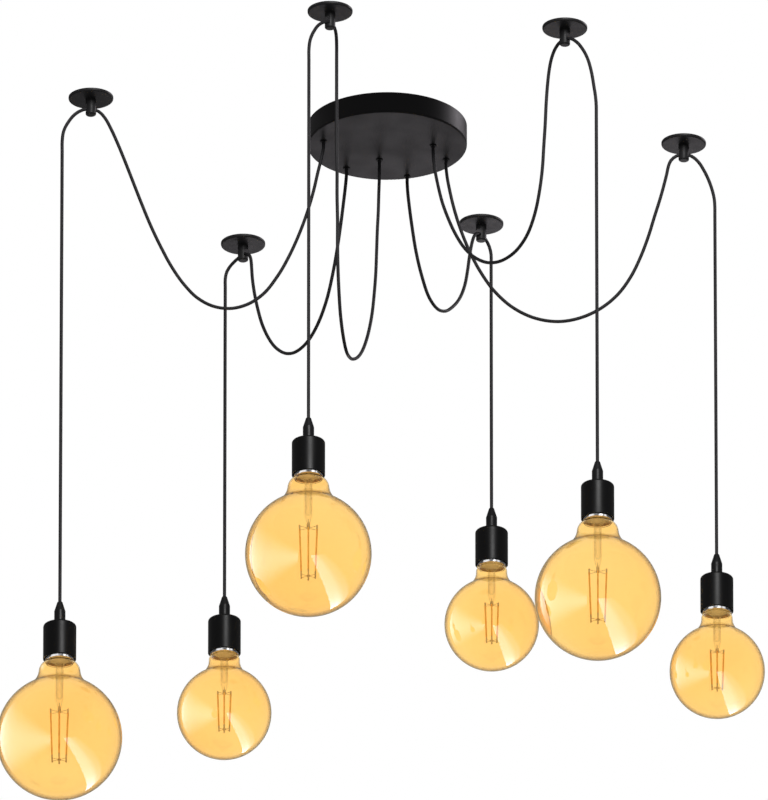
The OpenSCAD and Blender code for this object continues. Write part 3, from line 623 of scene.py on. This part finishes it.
STEM_R, STEM_WALL, FLARE_R, FLARE_H = 4.0, 0.8, 13.1, 8.0
STICK_D, WIRE_D, SPOKE_D, COIL_D = 1.6, 0.8, 0.5, 0.5
CAGE_TOP, CAGE_FOOT, CAGE_TOP_R, CAGE_FOOT_R, STEM_FOOT = 28.0, -24.0, 10.0, 8.0, 37.7
COIL_R, COIL_TURNS, COIL_STEPS = 1.5, 5, 60
HUB_PROFILE = [(0, 1.2), (1.2, 1.2), (1.6, 0.7), (1.6, -0.7), (1.2, -1.2), (0, -1.2)]

STICK_COUNT, STICK_SIDES = 6, 12
STICK_ANGLES = [TAU * (k + 0.5) / STICK_COUNT for k in range(STICK_COUNT)]
STICK_DIRECTIONS = [Vector((math.cos(a), math.sin(a), 0)) for a in STICK_ANGLES]

# Shares of the way down a stick: its coat, and its two bare ends
COAT = (0.06, 0.94)
BARE_ENDS = ((-0.02, 0.07), (0.93, 1.02))


def stem_profile(top, foot):
    """Stem: down its outside from the flare, round the pinched foot, and up its bore."""
    outer = [(FLARE_R, top), (FLARE_R - 0.4, top - 0.9), (8, top - 3.4), (5, top - 6.4), (STEM_R, top - FLARE_H)]
    outer += [(STEM_R, z) for z in steps(top - FLARE_H - 1, foot + 5, 4)]
    pinch = [(STEM_R - 0.3, foot + 3), (STEM_R - 1.1, foot + 1), (STEM_R - 1.2, foot - 1.5), (2, foot - 3.4),
             (0, foot - 4)]
    inner = [(0, foot + 4), (STEM_R - 2, foot + 4.6), (STEM_R - STEM_WALL, foot + 7)]
    inner += [(STEM_R - STEM_WALL, top - FLARE_H), (4.4, top - 6), (7.4, top - 3), (FLARE_R - 0.8, top)]
    return outer + pinch + inner


def coil_into(bm, at, top, foot):
    """Coil of fine wire between the stem and the cage."""
    path = []
    for k in range(COIL_STEPS + 1):
        a = COIL_TURNS * TAU * k / COIL_STEPS
        path.append(at + offset(COIL_R * math.cos(a), COIL_R * math.sin(a), top - (top - foot) * k / COIL_STEPS))
    wire_into(bm, path, COIL_D)


def add_support_wires(i, at, stem_foot, cage):
    """Centre wire, coil, and the hub and spokes at each end of the cage."""
    (_, cage_top), (_, cage_foot) = cage
    bm = bmesh.new()
    revolve_into(bm, [(0, stem_foot), (WIRE_D / 2, stem_foot), (WIRE_D / 2, cage_foot), (0, cage_foot)], at, 10)
    coil_into(bm, at, stem_foot - 4, cage_top + 1)
    for z in (cage_top, cage_foot):
        revolve_into(bm, [(r, z + h) for r, h in HUB_PROFILE], at, 16)
    for out in STICK_DIRECTIONS:
        for r, z in cage:
            hub = at + offset(0, 0, z)
            wire_into(bm, [hub + MM * out, hub + MM * r * out], SPOKE_D)
    return new_object(f"support_wires_{i}", bm, WIRE)


def stick_into(bm, head, tail, span):
    begin, end = span
    wire_into(bm, [head.lerp(tail, begin), head.lerp(tail, end)], STICK_D, STICK_SIDES)


def add_sticks(i, at, cage):
    """Coated sticks, and their bare ends."""
    sticks, ends = bmesh.new(), bmesh.new()
    for out in STICK_DIRECTIONS:
        head, tail = [at + MM * (r * out + Vector((0, 0, z))) for r, z in cage]
        stick_into(sticks, head, tail, COAT)
        for span in BARE_ENDS:
            stick_into(ends, head, tail, span)
    return new_object(f"filament_sticks_{i}", sticks, FILAMENT), new_object(f"stick_ends_{i}", ends, WIRE)


def add_filament(i):
    """The cage is drawn for the large globe, and shrinks with the small one."""
    globe = GLOBES[i - 1]
    lift = centre_height(globe)
    at = rim_of(i) + offset(0, 0, lift)
    share = globe[0] / LARGE[0]
    stem_foot = STEM_FOOT * share
    cage = ((CAGE_TOP_R * share, CAGE_TOP * share), (CAGE_FOOT_R * share, CAGE_FOOT * share))
    stem = turned(f"stem_{i}", stem_profile(COLLAR_TOP - lift, stem_foot), at, STEM_GLASS, segments=40)
    wires = add_support_wires(i, at, stem_foot, cage)
    filament, ends = add_sticks(i, at, cage)
    for piece in (stem, wires, filament, ends):
        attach(piece, f"glass_{i}")
    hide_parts(f"bulb_filament_{i}")


# Socket contacts: profiles are (radius, height above the rim), in millimetres

SHELL_BORE_R, SHELL_FOOT, SHELL_TOP, SHELL_WALL, SHELL_STEP = 13.5, 2.5, 20.5, 0.8, 0.4
SHELL_THREAD_DEPTH = 0.45
CONTACT_FOOT, CONTACT_TOP = 24.5, 25.5
CONTACT_PROFILE = [(0, CONTACT_TOP), (3.5, CONTACT_TOP), (3.5, CONTACT_TOP - 0.4), (2, CONTACT_FOOT + 0.2),
                   (0, CONTACT_FOOT)]


def socket_wave(z, a):
    return thread(z, a, SHELL_FOOT + 0.5, SHELL_TOP, SHELL_THREAD_DEPTH)


def add_socket_contacts(i):
    """Threaded shell, and the sprung centre contact under the divider."""
    at = rim_of(i)
    outer = [(SHELL_BORE_R + SHELL_WALL, z) for z in steps(SHELL_FOOT, SHELL_TOP, SHELL_STEP)]
    inner = [(SHELL_BORE_R + SHELL_THREAD_DEPTH, z) for z in steps(SHELL_TOP, SHELL_FOOT, SHELL_STEP)]
    shell = turned(f"socket_shell_{i}", outer + inner + outer[:1], at, BRASS, segments=56, wave=socket_wave)
    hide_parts(f"socket_contacts_{i}")
    tongue = turned(f"centre_contact_{i}", CONTACT_PROFILE, at, BRASS, segments=32)
    for piece in (shell, tongue):
        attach(piece, f"pendant_{i}")


for i in LIGHTS:
    add_globe(i)
    add_cap(i)
    add_filament(i)
    add_socket_contacts(i)


# Terminal screws: slotted heads in the wells of the terminal block

BLOCK_L, BLOCK_W, WELL_COUNT, BLOCK_FOOT, WELL_DEPTH = 42.0, 18.0, 6, -14.0, 3.0
HEAD_R, HEAD_H, HEAD_STEPS, SLOT_HALF, HEAD_SUNK = 1.7, 1.2, 10, 0.25, 0.3
SLOT_FLOOR_PROFILE = [(0, 0.2), (1.4, 0.2), (1.4, -0.6), (0, -0.6)]


def screw_head_into(bm, at):
    """Slotted cheese head seen from below, its slot a groove between two half discs."""
    reach = math.acos(SLOT_HALF / HEAD_R)
    outline = arc(0, 0, HEAD_R, -reach, reach, HEAD_STEPS)
    for side in (1, -1):
        top, foot = [[bm.verts.new(at + offset(side * x, y, z)) for x, y in outline] for z in (0, -HEAD_H)]
        join_rings(bm, top, foot)
        bm.faces.new(top)
        bm.faces.new(foot[::-1])
    revolve_into(bm, SLOT_FLOOR_PROFILE, at, 20)


def add_terminal_screws():
    bm = bmesh.new()
    for k in range(WELL_COUNT):
        x = (k + 0.5) * BLOCK_L / WELL_COUNT - BLOCK_L / 2
        for y in (-BLOCK_W / 4, BLOCK_W / 4):
            screw_head_into(bm, offset(x, y, BLOCK_FOOT + WELL_DEPTH - HEAD_SUNK))
    screws = new_object("terminal_screws", bm, BRASS)
    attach(screws, "ceiling_set")


add_terminal_screws()


# Rigid nodes that keep their own shape

NODE_MATERIALS = {
    "canopy_cup": CANOPY_BLACK, "ceiling_bracket": ZINC, "canopy_screws": SCREW_BLACK,
    "terminal_block": WHITE_BLOCK, "cord_bushings": BUSHING_BLACK, "ceiling_hooks": HOOK_BLACK,
}
for i in LIGHTS:
    NODE_MATERIALS.update({
        f"cord_grip_{i}": GRIP_BLACK, f"lamp_holder_{i}": HOLDER_BLACK, f"socket_core_{i}": WHITE_BLOCK,
    })

for name, material in NODE_MATERIALS.items():
    for slot in frame["nodes"][name].material_slots:
        slot.material = material


# Studio: white surroundings, a pale floor and soft lights, in metres

BACKDROP_SEEN, BACKDROP_THROUGH_GLASS, ROOM = 1.0, 1.15, 0.12
FLOOR_R_MM, FLOOR_HEIGHT, FLOOR_GLOW = 2600, -2.4, 0.68
WHITE, COOL, BLUE, PALE_BLUE = (1, 1, 1), (1.0, 0.94, 1.0), (0.7, 0.82, 1.0), (0.8, 0.9, 1.0)

# What a light falls on, by the first letters of the pieces' names
HANGING = ("lamp_holder_", "cord_grip_", "swag_", "drop_", "ceiling_hooks")
CEILING = ("canopy_", "ceiling_", "cord_bushings", "terminal_", "swag_", "drop_")
CAPS = "cap_"
GLOBE_GLASS = "globe_"


def add_world():
    """White backdrop, overexposed behind the glass, and a dim room all round."""
    world = bpy.data.worlds.new("studio")
    world.use_nodes = True
    nodes, links = world.node_tree.nodes, world.node_tree.links
    nodes.clear()
    rays = nodes.new("ShaderNodeLightPath")
    strength = None
    for ray, level in (("Is Camera Ray", BACKDROP_SEEN), ("Is Transmission Ray", BACKDROP_THROUGH_GLASS)):
        pick = nodes.new("ShaderNodeMix")
        pick.inputs["A"].default_value = ROOM
        pick.inputs["B"].default_value = level
        links.new(rays.outputs[ray], pick.inputs["Factor"])
        if strength:
            links.new(strength, pick.inputs["A"])
        strength = pick.outputs["Result"]
    background = nodes.new("ShaderNodeBackground")
    background.inputs["Color"].default_value = (*WHITE, 1)
    links.new(strength, background.inputs["Strength"])
    out = nodes.new("ShaderNodeOutputWorld")
    links.new(background.outputs["Background"], out.inputs["Surface"])
    bpy.context.scene.world = world


def add_floor():
    """Pale floor well below the lamps, lit from within so that it stays even, and unseen in reflections."""
    paint = moulded("floor_paint", (0.8, 0.8, 0.79), (0.84, 0.84, 0.83), (0.6, 0.7))
    shader = paint.node_tree.nodes["Principled BSDF"]
    shader.inputs["Emission Color"].default_value = (*WHITE, 1)
    shader.inputs["Emission Strength"].default_value = FLOOR_GLOW
    floor = turned("floor", [(0, 0), (FLOOR_R_MM, 0)], Vector((0, 0, FLOOR_HEIGHT)), paint, segments=128)
    floor.visible_diffuse = False
    floor.visible_glossy = False


def light_only(light, prefixes):
    """Keeps a light to the pieces whose names begin in one of these ways."""
    group = bpy.data.collections.new(f"lit_by_{light.name}")
    for obj in bpy.context.scene.objects:
        if obj.type == "MESH" and obj.name.startswith(prefixes):
            group.objects.link(obj)
    light.light_linking.receiver_collection = group


def add_softbox(name, falls_on, at, aim, size, radiance, spin=0, colour=WHITE):
    """Rectangular soft light, unseen by the camera. Radiance is its brightness beside the backdrop's 1,
    and spin turns it about its own aim, in degrees."""
    data = bpy.data.lights.new(name, "AREA")
    data.color = colour
    data.shape = "RECTANGLE"
    data.size, data.size_y = size
    data.energy = math.pi * radiance * size[0] * size[1]
    light = bpy.data.objects.new(name, data)
    light.location = at
    facing = (Vector(aim) - Vector(at)).to_track_quat("-Z", "Y").to_matrix()
    light.rotation_euler = (facing @ Matrix.Rotation(math.radians(spin), 3, "Z")).to_euler()
    light.visible_camera = False
    light.visible_transmission = False
    bpy.context.scene.collection.objects.link(light)
    light_only(light, falls_on)
    return light


def grade(light, side, stops):
    """Grades a softbox along its X or Y side. Each stop is (share of the way, brightness)."""
    light.data.use_nodes = True
    nodes, links = light.data.node_tree.nodes, light.data.node_tree.links
    place = nodes.new("ShaderNodeNewGeometry")
    split = nodes.new("ShaderNodeSeparateXYZ")
    ramp = nodes.new("ShaderNodeValToRGB")
    ramp.color_ramp.interpolation = "EASE"
    elements = ramp.color_ramp.elements
    while len(elements) < len(stops):
        elements.new(0.5)
    for element, (position, level) in zip(elements, stops):
        element.position = position
        element.color = (level, level, level, 1)
    links.new(place.outputs["Parametric"], split.inputs["Vector"])
    links.new(split.outputs[side], ramp.inputs["Fac"])
    links.new(ramp.outputs["Color"], nodes["Emission"].inputs["Strength"])


def light_black_pieces():
    """A stripe down the front of what hangs, a bright right edge and a soft grey face on the canopy."""
    add_softbox("key", HANGING, at=(0.45, -2.7, 0.8), aim=(0, 0, -0.45), size=(0.9, 1.2), radiance=8)
    add_softbox("side_edge", CEILING, at=(1.95, 1.1, 1.05), aim=(0, 0, -0.1), size=(1.0, 1.0), radiance=3.5,
                colour=COOL)
    add_softbox("bounce", CEILING, at=(0.25, 1.25, -0.4), aim=(0, 0, -0.02), size=(0.9, 0.4), radiance=1.2,
                colour=COOL)


def light_caps():
    """Light and dark stripes side by side, for the look of chrome."""
    shine = add_softbox("cap_shine", CAPS, at=(0, -1.2, 0.75), aim=(0, 0, 0.75), size=(8.0, 2.2), radiance=2)
    grade(shine, "X", [(0, 0.3), (0.3, 0.5), (0.44, 0.45), (0.48, 0.05), (0.53, 0.06), (0.56, 1), (0.6, 0.9),
                       (0.64, 0.1), (0.72, 0.5), (1, 0.3)])


def light_glass():
    """A white crescent at the lower right of each globe, and a pale band on its left."""
    glow = add_softbox("low_glow", GLOBE_GLASS, at=(1.99, 1.4, -2.2), aim=(1.99, 1.4, 0), size=(2.2, 10.0),
                       radiance=7.5, spin=8.3, colour=BLUE)
    grade(glow, "X", [(0, 0), (0.45, 0.25), (0.85, 0.9), (1, 1)])
    band = add_softbox("left_band", GLOBE_GLASS, at=(-2.0, -1.9, -1.74), aim=(0, -1.9, -1.74), size=(7.8, 2.9),
                       radiance=4.5, spin=-28, colour=PALE_BLUE)
    grade(band, "Y", [(0, 0), (0.5, 1), (1, 0)])


add_world()
add_floor()
light_black_pieces()
light_caps()
light_glass()

# Colours go to the picture as they are
bpy.context.scene.view_settings.view_transform = "Standard"
bpy.context.scene.view_settings.look = "None"
